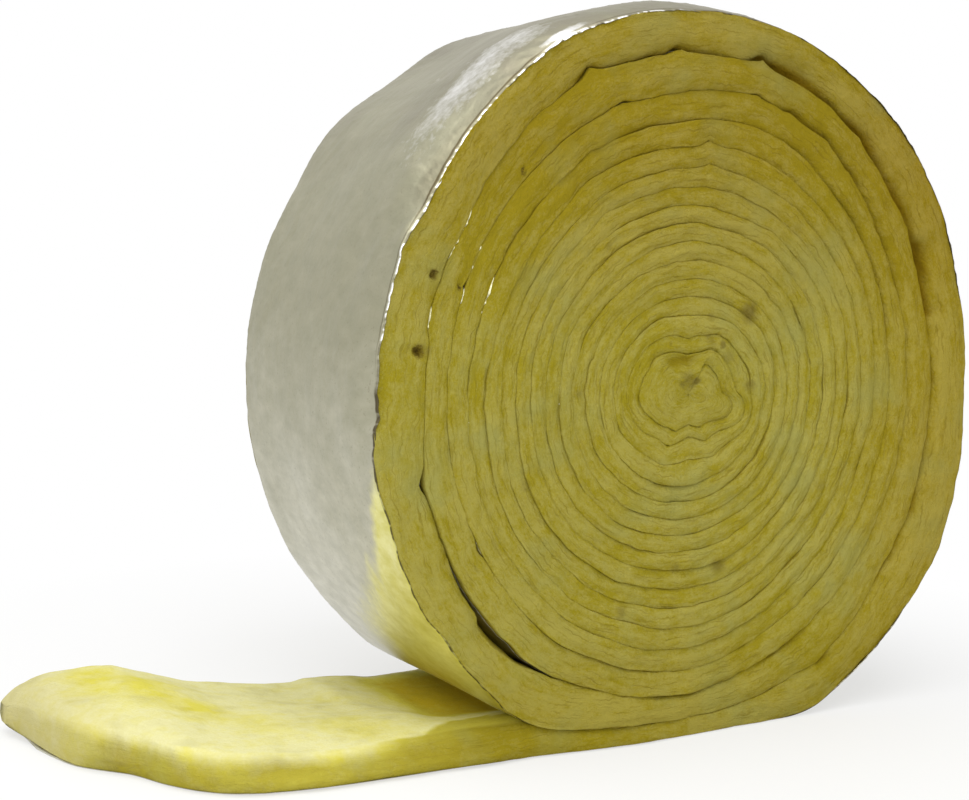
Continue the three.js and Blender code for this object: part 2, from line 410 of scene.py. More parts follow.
def cut_inset(share, thickness, turn, side):
    """How far a point of the cut face lies in from the blanket's edge: a narrow crease on the foil
    side, a wider and slacker one on the inner side, and the listed slumps, each a hump of ragged
    width from the inner side, less a crown that is a parabola over the layer's thickness."""
    from_foil = share * thickness
    from_inside = (1 - share) * thickness
    loose = ease(thickness, 9 * MM, 22 * MM)
    inset = FOIL_CREASE * seam_strength(turn, 41) * hump(from_foil, 0.4 * MM, 1) * ease(turn, 0.4, 1.05)
    wide = (1.8 + 1.2 * loose + 0.8 * along_noise(turn, 18, 43)) * MM
    slack = np.clip(0.5 + 0.8 * along_noise(turn, 30, 44), 0.05, 1.4) * (1 + 0.8 * ease(turn, 4, 1.5))
    slack = slack * (1 - 0.75 * lies_flat(turn))
    inset = inset + INNER_CREASE * slack * hump(from_inside, wide, 1.3)
    ragged = 1 + 0.5 * along_noise(turn, 12, 45)
    uneven = 1 + 0.4 * along_noise(turn, 26, 47)
    for line, first, last, depth, width, soft in SLUMPS:
        depth *= MM if side < 0 else 0.3 * MM
        degrees = (turn - turn_at(line - 1, first)) * 360
        reach = ease(degrees, -soft / 2, soft / 2) * ease(degrees - (last - first), soft / 2, -soft / 2)
        inset = inset + depth * reach * uneven * hump(from_inside, width * MM * ragged)
    crown = (CROWN + (LOOSE_CROWN - CROWN) * loose) * (1 - 0.5 * lies_flat(turn))
    return inset - crown * (1 - (2 * share - 1) ** 2)


def cut_relief(points, turn, share, thickness, side):
    """Unevenness of a cut face: each layer's own level, broad swells, lumps, and the felted strata of
    the wool, which run along the layer. At the front the floor squeezes it out, and the listed pits
    and hollows are taken off. All noises fade in where the strip leaves the floor."""
    seed = 41 + side
    depth = share * thickness + 0.8 * MM * soft_noise(points, 9, seed)
    strip = stacked(strip_length(turn), depth, 0)
    relief = layered_noise(strip, (0.45, (15, 2.4, 1), seed + 8), (0.28, (5, 1.5, 1), seed + 10))
    relief = relief + 0.8 * along_noise(turn, 60, seed + 2)
    relief = relief * (1 - 0.9 * ease(turn, WAD_START - 0.1, WAD_START))
    relief = relief + layered_noise(points, (1.0, 60, seed + 4), (0.6, 9, seed + 6), (0.22, 4.5, seed + 12))
    relief = MM * relief * ease(turn, 0, 0.03)
    if side < 0:
        relief = relief + squeezed_out(points)
        for x, z, radius, hollow in PITS:
            away = np.hypot(points[..., 0] - x, points[..., 2] - z)
            relief = relief - hollow * hump(away, radius, 3)
        for x, z, half_length, half_height, hollow in HOLLOWS:
            away = np.hypot((points[..., 0] - x) / half_length, (points[..., 2] - z) / half_height)
            relief = relief - hollow * hump(away, 1, 3)
    return relief


def margin_drop(turn):
    """Share of the foil's edge bend that each turn has: most on the tail's side of the outermost turn,
    a little and wavy round the rest of it, and none on the floor or inside."""
    outermost = ease(turn, OPEN_START - 0.02, OPEN_START + 0.02)
    outermost = outermost * ease(turn, OPEN_END + 0.03, OPEN_END - 0.02)
    height = foil_radius(turn) * np.sin(winding_angle(turn)) + CENTRE_HEIGHT
    degrees = turn * 360 - 90
    curled = 1.12 * ease(degrees, 46, 84) * ease(degrees, 246, 226) * (1 - 0.9 * ease(degrees, 149, 158))
    wave = along_noise(turn, 16, 61) + 0.5 * along_noise(turn, 6, 62)
    wave = wave * (0.05 + 0.17 * ease(degrees, 170, 186))
    return outermost * ease(height, 2 * MM, 34 * MM) * (0.15 + 0.85 * curled + wave)


def golden_tone_and_shade(points, turn, share, thickness, height):
    """How golden the wool is, about 0 to 1: in streaks along the layer and in broad clouds, and with
    painted shade, more where it lies low and on the foil side of the upper layers."""
    strip = stacked(strip_length(turn), share * thickness, 0)
    streaks = layered_noise(strip, (0.3, (34, 3.0, 1), 61), (0.24, (11, 2.0, 1), 62))
    streaks = streaks * (1 - ease(turn, WAD_START - 0.1, WAD_START))
    clouds = layered_noise(points, (0.22, 30, 63), (0.2, 8, 64))
    # Painted shade: more golden the deeper the face is sunk, and on the foil side of the upper layers,
    # under the layer above.
    upper = ease(points[..., 2], CENTRE_HEIGHT, CENTRE_HEIGHT + 100 * MM)
    under = 0.45 * ease(turn, 0.9, 1.1) * ease(turn, 6, 4)
    return 0.45 + streaks + clouds - 0.14 * height / MM + upper * (0.2 + under - 0.4 * share)


# What the blanket's mesh carries for its material, besides the length along the strip: the depth under
# the foil, how golden, with painted shade where sheltered, how far from a seam, how strong the painted
# shade along that seam is, how much skin, and how much painted shade where it is sunk.
WOOL_NUMBERS = ("depth", "golden", "margin", "seam_shade", "skin", "sunk_shade")
BROAD_COUNT = 2                   # points across the broad sides, where the winding hides them
NEAR_EDGE = 5 * MM                # and how far in from the edges those points are


def wound_rings(turn):
    """Rings of the wound blanket: the front cut face from the foil inwards, the inner side to the
    back, the back cut face outwards, and the outer side to the front. Also the material's numbers."""
    turn = turn[:, None]
    outer = foil_radius(turn) - WOOL_BASE
    drop = margin_drop(turn)
    clear = BROAD_DROP * drop + DENT_ROOM * ease(turn, 0.05, 0.1) * ease(turn, OPEN_END, OPEN_END - 0.05)
    across = np.linspace(NEAR_EDGE - HALF_WIDTH, HALF_WIDTH - NEAR_EDGE, BROAD_COUNT)
    wad = ease(turn, WAD_START - 0.002, WAD_START)
    inner = inner_radius(turn, 1) - PINCH * (1 - wad)
    parts, numbers = [], []
    for share, side, broad_radius, bend_share in (
            (CUT_SHARES, -1, inner_radius(turn, 0.15), 1), (BACK_SHARES, 1, outer - clear, 0.25)):
        whole, share = np.broadcast_arrays(turn, share)
        bend = bend_share * EDGE_DROP * drop - 0.1 * MM - 0.14 * MM * ease(turn, 0.93, 0.97)
        thickness = np.broadcast_to(outer - bend - inner, share.shape)
        points = in_winding(whole, inner + thickness * (1 - share), side * HALF_WIDTH)
        inset = cut_inset(share, thickness, whole, side) * (1 - wad * share**2) * ease(whole, 0, 0.03)
        relief = cut_relief(points, whole, share, thickness, side) * (1 - 0.6 * wad * share**4)
        points[..., 1] = side * (HALF_WIDTH - CUT_BACK - inset + relief)
        depth = share * thickness
        # How strong the painted shade along each seam is.
        seam_shade = np.where(share < 0.5, seam_strength(whole, 41), seam_strength(whole, 71) * (1 - wad))
        golden = golden_tone_and_shade(points, whole, share, thickness, relief - inset)
        # Painted shade where the cut face is sunk in.
        sunk_shade = ease(inset - relief, 1.2 * MM, 4.6 * MM)
        parts += [points, in_winding(turn, broad_radius, -side * across)]
        numbers += [stacked(depth, golden, np.minimum(depth, thickness - depth), seam_shade, 0, sunk_shade),
                    stacked(0, 0.8, 0, np.ones((len(turn), BROAD_COUNT)), 0, 0)]
    return np.concatenate(parts, 1), np.concatenate(numbers, 1)


# The loose tail. The blanket's last stretch lies flat on the floor with its foil down. Off the roll
# its wool rises back to its loose thickness, and its front corner is torn off.
TAIL_STEP = 2.6 * MM              # from one ring of points to the next
TOP_COUNT = 56                    # points across the open tail's top
BASE_COUNT = 12                   # and across its bottom
TORN_LENGTH = 56 * MM             # the corner is torn off this far along the tail
NIP = -97 * MM                    # where the roll comes down on the tail
END_ROUND = 15 * MM               # the end is rounded off over this length
END_BULGE = 8 * MM                # and stands out over the foil's end by this much


def smooth_line(knots, spread):
    """A function of x through (x, value) knots in millimetres, rounded off over the spread by a
    moving mean."""
    xs, values = MM * np.array(knots).T
    fine = np.linspace(xs[0] - 4 * spread * MM, xs[-1] + 4 * spread * MM, 2000)
    line = np.interp(fine, xs, values)
    reach = int(spread * MM / (fine[1] - fine[0]))
    kernel = np.hanning(2 * reach + 3)
    padded = np.pad(line, reach + 1, mode="edge")
    line = np.convolve(padded, kernel / kernel.sum(), mode="valid")
    return lambda x: np.interp(x, fine, line)


# Heights of the tail's top, along its front edge and along its back one.
front_height = smooth_line([
    (-300, 26), (-275, 26), (-253, 23), (-230, 18), (-207, 16), (-150, 15.5), (-118, 16), (-90, 18)], 10)
back_height = smooth_line([
    (-300, 24), (-283, 27), (-262, 28.5), (-246, 28.5), (-231, 24.5), (-210, 17), (-187, 13), (-165, 9.5),
    (-152, 8.5), (-143, 10.5), (-118, 8), (-104, 5.5), (-70, 5.5), (-50, 16)], 5)

# Front edge of the tail in plan, as y over x: ragged across the torn corner, then straight.
tail_front = smooth_line([
    (-304, 68), (-297, 56), (-291, 22), (-286, 0), (-276, -13), (-264, -26), (-257, -44), (-247, -57),
    (-236, -65), (-222, -71), (-207, -74), (-180, -HALF_WIDTH / MM), (0, -HALF_WIDTH / MM)], 6)


def tail_back(x):
    """Back edge of the tail in plan, with a corner rounded by an ellipse at the end."""
    share = np.clip((TAIL_END + END_ROUND - x) / END_ROUND, 0, 1)
    return HALF_WIDTH - 0.2 * END_ROUND * (1 - np.sqrt(1 - share * share))


def torn_share(x):
    """Where the tail's front edge is torn, 0 to 1."""
    return ease(x, -232 * MM, -262 * MM)


def tuck(x):
    """How far the bottom of the torn side lies in from its top."""
    return np.minimum(5 * MM, 0.07 * (tail_back(x) - tail_front(x))) * torn_share(x)


def roll_underside():
    """Height of the foil that comes down on the tail, as a function of x."""
    turn = np.linspace(0.8, 1.0, 200)
    points = in_winding(turn, foil_radius(turn), 0)
    return lambda x: np.interp(x, points[:, 0], points[:, 2])


under_roll = roll_underside()


def shoulder(distance, width, drop):
    """A factor that rounds an edge: it rises from 1 less the drop to 1 over the width, as a quarter of
    an ellipse."""
    share = np.clip(distance / width, 0, 1)
    return 1 - drop * (1 - np.sqrt(1 - (1 - share) ** 2))


def tail_height(x, across, front, back):
    """Height of the tail's top: it blends from the front edge to the back one, sooner near the roll,
    with swells and rounded shoulders, and it stops under the roll."""
    share = np.clip((across - front) / (back - front), 0, 1)
    blend = ease(share, 0.05, 0.75 - 0.3 * ease(x, -150 * MM, -115 * MM))
    tall = front_height(x) * (1 - blend) + back_height(x) * blend
    spot = stacked(x, across, 0)
    tall = tall + 1.6 * MM * soft_noise(spot, (46, 30, 1), 51) * ease(x, -100 * MM, -140 * MM)
    tall = tall + MM * layered_noise(spot, (0.6, (18, 11, 1), 52), (0.2, 4.5, 53))
    torn = ease(x, TAIL_END + TORN_LENGTH + 10 * MM, TAIL_END + 20 * MM)
    front_width = (22 + 8 * torn) * MM * ease(x, -60 * MM, -150 * MM) + 8 * MM
    fall = shoulder(across - front, front_width, 0.26 + 0.14 * torn)
    fall = fall * shoulder(back - across, 10 * MM, 0.35)
    fall = 1 - (1 - fall) * ease(x, -60 * MM, -100 * MM)
    return np.minimum(tall * fall, under_roll(x) - GLUE)


# Yellow patches on the tail's cream skin: x, y and radius in millimetres, and strength.
PATCHES = [
    (-262, 46, 17, 1.0), (-243, 28, 18, 1.1), (-224, 2, 15, 0.9), (-206, -22, 13, 0.6),
    (-165, -40, 14, 0.6), (-150, 20, 12, 0.3),
]


def tail_tint(x, across, front, share, cut_side):
    """How golden the tail is and how much of it is skin. The cut side is yellow up to its top edge, and
    near the roll the colour runs on to the top, where less of the cream skin shows, and ends raggedly;
    the rest is cream. The top is golden brown with painted shade where it turns in under the roll."""
    x, across, share = np.broadcast_arrays(x, across, share)
    spot = stacked(x, across, 20 * MM * share)
    wobble = layered_noise(spot, (1, 9, 57), (0.6, 3.5, 58))
    streaks = layered_noise(spot, (1, (26, 7, 9), 59), (0.5, (60, 18, 9), 60))
    reach = 27 * MM * ease(x, -175 * MM, -100 * MM) - 3 * MM
    below = 16 * MM * (1 - share) * (1 if cut_side else 0)
    off_edge = across - front - below - reach - (2 * MM + 0.25 * np.abs(reach)) * wobble
    golden = ease(off_edge, 4 * MM, -3 * MM)
    less_skin_near_roll = 0.55 * golden * ease(x, -200 * MM, -130 * MM)
    for *sizes, strength in PATCHES:
        patch_x, patch_y, radius = np.multiply(sizes, MM)
        away = np.hypot(x - patch_x, (across - patch_y) / 1.3)
        golden = np.maximum(golden, strength * hump(away, radius))
    golden = golden * (0.85 + 0.15 * wobble) * ease(x, -294 * MM, -270 * MM) + 0.2 * streaks + 0.1
    golden = golden + (0.5 - golden) * ease(x, -90 * MM, -4 * MM)
    # Painted shade: the top turns golden brown where it runs in under the roll.
    if not cut_side:
        nip = across + 0.25 * (x + 108 * MM) + 6 * MM * wobble
        nip = ease(x, -130 * MM, -98 * MM) * ease(nip, -34 * MM, -10 * MM)
        golden = golden + 1.9 * nip * ease(across, 76 * MM, 50 * MM)
    skin = 0.33 + 0.08 * wobble + 0.67 * ease(share + 0.05 * wobble, 0.72, 1.02)
    skin = np.maximum(skin, 0.75 * ease(x, -264 * MM, -290 * MM)) * (1 - less_skin_near_roll)
    if cut_side:
        skin = skin * ease(x, -100 * MM, -150 * MM)
    return golden, np.clip(skin, 0, 1)


def tail_rings(x, end_share, top_count, base_count):
    """Rings of the tail with the wound rings' four sides, and the material's numbers. The cut sides
    bulge by a sine over their height, lean in at the top, tuck in at the bottom where they are torn,
    and are lumpy and felted. Towards the end each ring is drawn in about a point low in the wool, as
    a quarter circle over its share."""
    x, end_share = x[:, None], end_share[:, None]
    station = np.maximum(x, TAIL_END + 2 * MM)
    front, back = tail_front(x), tail_back(station)
    centre = 0.5 * (front + back)
    middle = 0.52 * tail_height(station, centre, front, back)
    loose = ease(x, NIP + 24 * MM, NIP - 30 * MM)
    torn = torn_share(station)
    lean = (9 * loose - 5 * torn) * MM * np.minimum((back - front) / (60 * MM), 1)
    rounding = np.sqrt(1 - (1 - end_share) ** 2)
    top_steps = np.arange(1, top_count + 1) / (top_count + 1)
    base_steps = np.arange(base_count, 0, -1) / (base_count + 1)
    parts, numbers = [], []
    for across, share, side in (
            (front, CUT_SHARES, -1), (front + lean + (back - front - 2 * lean) * top_steps, 1, 0),
            (back, BACK_SHARES, 1), (front + (back - front) * base_steps, 0, 0)):
        level = WOOL_BASE + (0.9 * front_height(station) - WOOL_BASE) * share
        golden, skin = tail_tint(station, across, front, share, side != 0)
        if side:
            spot = stacked(station, across, level)
            felt = stacked(station, level, 0)
            bulge = (1.5 + 2.5 * loose - 1.5 * torn) * MM * np.sin(np.pi * share**0.8)
            bulge = bulge - lean * share**4 - tuck(station) * (1 - share) ** 2
            rough = layered_noise(spot, (0.8, 14, 54), (0.35, 5, 55))
            rough = rough + 0.35 * soft_noise(felt, (15, 2.4, 1), 56)
            bulge = (bulge + MM * rough * (1 - share**6)) * ease(x, 0, -30 * MM) - CUT_BACK
            across = across + side * (bulge + (squeezed_out(spot) if side < 0 else 0))
        tall = tail_height(station, np.clip(across, front, back), front, back)
        level = WOOL_BASE + (tall - WOOL_BASE) * share
        level = np.maximum(middle + (level - middle) * (0.38 + 0.62 * rounding), WOOL_BASE)
        across = centre + (across - centre) * (0.92 + 0.08 * rounding)
        parts.append(stacked(x, across, level))
        numbers.append(stacked(level + across - front, golden, 1, 0, skin, 0))
    return np.concatenate(parts, 1), np.concatenate(numbers, 1)


def glass_wool_blanket():
    """The blanket as one strip of rings: many points round the open tail, few on the broad sides that
    the winding hides, and extra rings by the start of the wad and across each pit. The mesh carries
    its length along the strip and what else its material needs."""
    swing = np.linspace(0.06, 0.5, 11) * np.pi
    round_x = TAIL_END + END_ROUND - (END_ROUND + END_BULGE) * np.cos(swing)
    open_x = np.arange(round_x[-1] + TAIL_STEP, NIP + 40 * MM, TAIL_STEP)
    hidden_x = np.arange(open_x[-1] + TAIL_STEP, -2 * MM, TAIL_STEP)
    end_share = np.concatenate([1 - np.cos(swing), np.ones(len(open_x))])
    open_x = np.concatenate([round_x, open_x])
    tail, tail_numbers = tail_rings(open_x, end_share, TOP_COUNT, BASE_COUNT)
    hidden, hidden_numbers = tail_rings(hidden_x, np.ones(len(hidden_x)), BROAD_COUNT, BROAD_COUNT)

    turn = even_turns(0, INNER_END - 0.002, LAYER_STEP)
    turn = np.append(turn, [WAD_START - 0.001, WAD_START + 0.001])
    for x, z, radius, _ in PITS:
        middle = turn_at(0, np.degrees(np.arctan2(z - CENTRE_HEIGHT, x)))
        reach = 1.5 * radius / (2 * np.pi * np.hypot(x, z - CENTRE_HEIGHT))
        turn = np.append(turn, middle + np.linspace(-reach, reach, 9))
    turn = np.sort(turn)
    wound, wound_numbers = wound_rings(turn)

    cut, back = len(CUT_SHARES) - 1, len(BACK_SHARES) - 1
    sparse = [cut, BROAD_COUNT + 1, back, BROAD_COUNT + 1]
    body = ring_body("glass_wool_strip", [
        (tail, [cut, TOP_COUNT + 1, back, BASE_COUNT + 1]), (hidden, sparse), (wound, sparse)])
    carry(body, "along", [
        np.broadcast_to(line[:, None], points.shape[:2])
        for line, points in ((open_x, tail), (hidden_x, hidden), (strip_length(turn), wound))])
    numbers = tail_numbers, hidden_numbers, wound_numbers
    for index, name in enumerate(WOOL_NUMBERS):
        carry(body, name, [stretch[..., index] for stretch in numbers])
    return body


def node(tree, kind, **settings):
    """Adds a shader node, sets its properties and its unlinked inputs by name, and returns it."""
    made = tree.nodes.new(kind)
    for key, value in settings.items():
        if hasattr(made, key):
            setattr(made, key, value)
        else:
            made.inputs[key.replace("_", " ")].default_value = value
    return made


def fill(tree, made, values):
    """Sets a node's inputs, each to a socket, a colour, a vector or a number, and returns the node."""
    for slot, value in values.items():
        entry = made.inputs[slot]
        if isinstance(value, bpy.types.NodeSocket):
            tree.links.new(value, entry)
        else:
            entry.default_value = (*value, 1) if entry.type == "RGBA" else value
    return made


def finish_material(name):
    """A new node material with its principled shader, and the tree to work in."""
    material = bpy.data.materials.new(name)
    material.use_nodes = True
    tree = material.node_tree
    return material, tree, tree.nodes["Principled BSDF"]


def object_place(tree):
    """The place in the object's own coordinates, and its X, Y and Z."""
    place = node(tree, "ShaderNodeTexCoord").outputs["Object"]
    return place, fill(tree, node(tree, "ShaderNodeSeparateXYZ"), {0: place}).outputs


def noise(tree, vector, scale, detail=3.0, rough=0.55, stretch=(1, 1, 1)):
    """A noise texture on a vector that is first stretched along each axis. It gives 0 to 1."""
    mapping = fill(tree, node(tree, "ShaderNodeMapping", Scale=stretch), {0: vector})
    made = node(tree, "ShaderNodeTexNoise", Scale=scale, Detail=detail, Roughness=rough)
    return fill(tree, made, {0: mapping.outputs["Vector"]}).outputs["Fac"]


def spread(tree, value, low_value, high_value, low_result=0, high_result=1):
    """Maps a value from one range to another, clamped."""
    made = node(tree, "ShaderNodeMapRange", From_Min=low_value, From_Max=high_value,
                To_Min=low_result, To_Max=high_result)
    return fill(tree, made, {0: value}).outputs["Result"]


def calculate(tree, operation, first, second):
    """A math node on two values, each a socket or a number."""
    made = node(tree, "ShaderNodeMath", operation=operation)
    return fill(tree, made, {0: first, 1: second}).outputs["Value"]


def ragged(tree, value, texture, amount):
    """A value pushed up and down by up to an amount, by a noise texture."""
    return calculate(tree, "ADD", value, spread(tree, texture, 0.3, 0.7, -amount, amount))


def blend_colour(tree, factor, first, second, kind="MIX"):
    """Mixes two colours, each a socket or a triple, by a factor. The kind MULTIPLY tints the first."""
    made = node(tree, "ShaderNodeMix", data_type="RGBA", blend_type=kind)
    return fill(tree, made, {0: factor, 6: first, 7: second}).outputs[2]


def carried(tree, name):
    """A number that the mesh carries."""
    return node(tree, "ShaderNodeAttribute", attribute_name=name).outputs["Fac"]


def on_vectors(tree, operation, *values):
    """The outputs of a vector math node on two or three vectors, each a socket or a triple."""
    made = node(tree, "ShaderNodeVectorMath", operation=operation)
    return fill(tree, made, dict(enumerate(values))).outputs


def wavy(tree, vector, scale, amount):
    """A vector pushed about by up to half the amount each way by a noise on it."""
    push = fill(tree, node(tree, "ShaderNodeTexNoise", Scale=scale, Detail=1.0), {0: vector})
    return on_vectors(tree, "MULTIPLY_ADD", push.outputs["Color"], (amount,) * 3, vector)["Vector"]


def bumped(tree, height, strength, distance):
    """The surface's normal, tilted as if it were raised by the height times the distance."""
    made = node(tree, "ShaderNodeBump", Distance=distance)
    return fill(tree, made, {"Height": height, "Strength": strength}).outputs["Normal"]


# Brown spots on the front end, x, z and radius in millimetres, and strength.
STAINS = [
    (31, 209, 5.0, 0.9), (17, 83, 4.0, 0.7), (-3, 176, 4.0, 0.55), (-40, 65, 3.0, 0.5), (-9, 84, 2.5, 0.5),
    (-66, 171, 2.5, 0.5), (9, 195, 2.5, 0.5), (20, 187, 3.5, 0.4), (8, 207, 2.0, 0.4), (33, 172, 3.0, 0.5),
    (-148, 193, 3.0, 0.4), (-52, 240, 2.5, 0.35), (60, 250, 3.0, 0.3), (-95, 130, 3.0, 0.35),
    (80, 120, 3.5, 0.3), (-7, 174, 2.2, 0.8), (1, 176, 1.8, 0.8), (-15, 194, 1.5, 0.6), (16, 193, 1.6, 0.8),
]

# Where the ends are warmer: at the top, on the right and at the bottom. The axis, where the tint sets
# in and where it is full, in millimetres, and the tint.
WARM_PLACES = [
    ("Z", 190, 290, (0.88, 0.80, 0.70)), ("X", 80, 150, (0.97, 0.89, 0.74)),
    ("Z", 60, 20, (0.95, 0.92, 0.80)),
]

PALE_WOOL = (0.358, 0.311, 0.062)
GOLDEN_WOOL = (0.295, 0.243, 0.014)
OLIVE_CLOUD = (0.310, 0.300, 0.085)
OCHRE_STREAK = (0.215, 0.162, 0.012)
BROWN_LINE = (0.185, 0.140, 0.012)
SHADED_WOOL = (0.205, 0.140, 0.006)
SEAM_SHADE_OLIVE = (0.205, 0.150, 0.010)
CREAM_SKIN = (0.760, 0.730, 0.390)
YELLOW_SKIN = (0.700, 0.636, 0.095)
NIP_SHADE_BROWN = (0.620, 0.470, 0.018)
SKIN_SPECK = (0.60, 0.53, 0.16)
DULL_TIP = (0.82, 0.79, 0.76)
STAIN_BROWN = (0.105, 0.075, 0.018)
PIT_SHADE_BROWN = (0.140, 0.095, 0.014)
PIT_SHADOW = (0.050, 0.034, 0.008)
PIT_SQUEEZE = (1, 0.2, 0.75)      # the pits' colour reaches deeper and higher than it is wide


def wool_finish():
    """Glass wool. Its cut faces are golden in places and paler in others, with painted shade that makes
    them golden where sheltered and paler where they stand proud, and painted brown shade where sunk.
    They are warmer in places, in wavy felted strata along the layers, with painted olive shade along
    the seams, a few brown spots, and pits darkened by painted shade. Its outer skin is cream, patched
    with yellow, brown with painted shade where it turns in under the roll, and duller at the tail's tip."""
    material, tree, shader = finish_material("yellow_glass_wool")
    place, axes = object_place(tree)
    strip = node(tree, "ShaderNodeCombineXYZ")
    fill(tree, strip, {"X": carried(tree, "along"), "Y": carried(tree, "depth")})
    strip = wavy(tree, wavy(tree, strip.outputs["Vector"], 100, 3.5 * MM), 330, 1.6 * MM)

    mottle = noise(tree, place, 170, 4, 0.65)
    strata = noise(tree, strip, 1, 4, 0.65, (95, 480, 1))
    fibres = noise(tree, strip, 1, 3, 0.7, (520, 1500, 1))
    speck = noise(tree, place, 900, 3, 0.7)
    tone = carried(tree, "golden")
    for texture, amount in ((mottle, 1.9), (strata, 2.2), (fibres, 1.0), (speck, 1.7)):
        tone = calculate(tree, "ADD", tone, spread(tree, texture, 0, 1, -amount / 2, amount / 2))
    # The wool's own tone, with painted shade: golden where sheltered, paler where the face stands proud.
    cut = blend_colour(tree, spread(tree, tone, 0, 1), PALE_WOOL, GOLDEN_WOOL)
    cloud = noise(tree, place, 34, 3, 0.6)
    streak = noise(tree, strip, 1, 3, 0.6, (60, 380, 1))
    line = noise(tree, strip, 1, 2, 0.5, (40, 900, 1))
    for texture, start, full, amount, colour in (
            (cloud, 0.5, 0.72, 0.6, OLIVE_CLOUD), (streak, 0.42, 0.28, 0.4, OCHRE_STREAK),
            (line, 0.41, 0.32, 0.45, BROWN_LINE)):
        cut = blend_colour(tree, spread(tree, texture, start, full, 0, amount), cut, colour)
    # Painted shade: the wool turns brown where the cut face is sunk in.
    cut = blend_colour(tree, carried(tree, "sunk_shade"), cut, SHADED_WOOL)
    for axis, start, full, tint in WARM_PLACES:
        cut = blend_colour(tree, spread(tree, axes[axis], start * MM, full * MM), cut, tint, "MULTIPLY")
    # Painted shade in the creases between the layers: an olive line along each seam.
    margin = ragged(tree, carried(tree, "margin"), noise(tree, place, 420, 3, 0.7), 0.35 * MM)
    seam_shade = calculate(tree, "MULTIPLY", carried(tree, "seam_shade"), spread(tree, margin, 0.5 * MM, 0, 0, 0.8))
    cut = blend_colour(tree, seam_shade, cut, SEAM_SHADE_OLIVE)

    golden = ragged(tree, carried(tree, "golden"), mottle, 0.25)
    skin = blend_colour(tree, golden, CREAM_SKIN, YELLOW_SKIN)
    # Painted shade: brown where the tail's top turns in under the roll.
    skin = blend_colour(tree, spread(tree, golden, 1.2, 2.0), skin, NIP_SHADE_BROWN)
    skin = blend_colour(tree, spread(tree, speck, 0.3, 0.7, 0, 0.22), skin, SKIN_SPECK)
    skin = blend_colour(tree, spread(tree, axes["X"], -262 * MM, -298 * MM), skin, DULL_TIP, "MULTIPLY")
    colour = blend_colour(tree, carried(tree, "skin"), cut, skin)

    for x, z, radius, strength in STAINS:
        gap = on_vectors(tree, "DISTANCE", place, (x * MM, -HALF_WIDTH, z * MM))["Value"]
        gap = ragged(tree, gap, mottle, 1.2 * MM)
        near = spread(tree, gap, 1.4 * radius * MM, 0.45 * radius * MM, 0, 0.7 * strength)
        colour = blend_colour(tree, near, colour, STAIN_BROWN)
    # Painted shade in the pits: brown, with a darker centre.
    uneven = noise(tree, place, 300, 3, 0.7)
    shallow = on_vectors(tree, "MULTIPLY", place, PIT_SQUEEZE)["Vector"]
    for x, z, radius, _ in PITS:
        point = tuple(np.multiply((x, -HALF_WIDTH, z), PIT_SQUEEZE))
        gap = ragged(tree, on_vectors(tree, "DISTANCE", shallow, point)["Value"], uneven, 1.1 * MM)
        for start, full, amount, tint in ((1.3, 0.6, 0.8, PIT_SHADE_BROWN), (0.8, 0.2, 0.85, PIT_SHADOW)):
            near = spread(tree, gap, start * radius, full * radius, 0, amount)
            colour = blend_colour(tree, near, colour, tint)

    height = calculate(tree, "ADD", calculate(tree, "MULTIPLY", fibres, 0.4), strata)
    fluff = calculate(tree, "MULTIPLY", noise(tree, place, 260, 5, 0.68), 1.3)
    height = calculate(tree, "ADD", height, fluff)
    normal = bumped(tree, height, spread(tree, carried(tree, "skin"), 0, 1, 0.75, 0.35), 1.6 * MM)
    fill(tree, shader, {
        "Base Color": colour, "Roughness": 1.0, "Specular IOR Level": 0.03, "Normal": normal})
    return material


wool = glass_wool_blanket()
wool.data.materials.append(wool_finish())
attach(wool, "root")
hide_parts("glass_wool_blanket")


# ---- The foil facing ----------------------------------------------------------------------------
# Aluminium foil on scrim and paper, glued to one face of the blanket. It is outermost on every turn
# and under the tail. Its cut edges curl over the wool, and its broad side is dimpled and creased.

FOIL_RECESS = 3.5 * MM            # how deep the edges of the inner turns lie between the layers
FOIL_STEP = 1.15 * MM             # from one ring of points to the next, where it is open to view
INNER_STEP = 3.5 * MM             # and on the inner turns
GLINT_STEP = 0.7 * MM             # and where an inner edge glints
TURN_LENGTH = 1.15                # about how much facing the outermost turn takes
UNDER_PICKS = [0, 3, 6, 20, 40, -9, -4, -1]    # which of the outer side's points the under side has

# Places where an inner edge stands out and has a painted glint: turn line, first and last angle in degrees.
GLINTS = [
    (1, 143, 157), (1, 162, 171), (2, 148, 156), (2, 158, 162), (3, 151, 163), (3, 183, 187),
    (15, 222, 228), (9, 180, 182), (1, 136, 139), (2, 208, 213),
]


def edge_columns():
    """Distances across the facing from its front edge, close near both edges for their curl."""
    near = np.array([0, 0.35, 0.8, 1.4, 2.2, 3.2, 4.6, 6.4, 8.8, 12, 16]) * MM
    far = np.array([16, 11, 7, 4, 2, 0.8, 0]) * MM
    broad = np.linspace(19 * MM, 2 * HALF_WIDTH - 19 * MM, 40)
    return np.concatenate([near, broad, 2 * HALF_WIDTH - far])


def laid_flat(turn, across):
    """Places on the outermost turn of the facing, as points (..., 3) of a flat sheet."""
    return stacked(turn * TURN_LENGTH, across, 0)


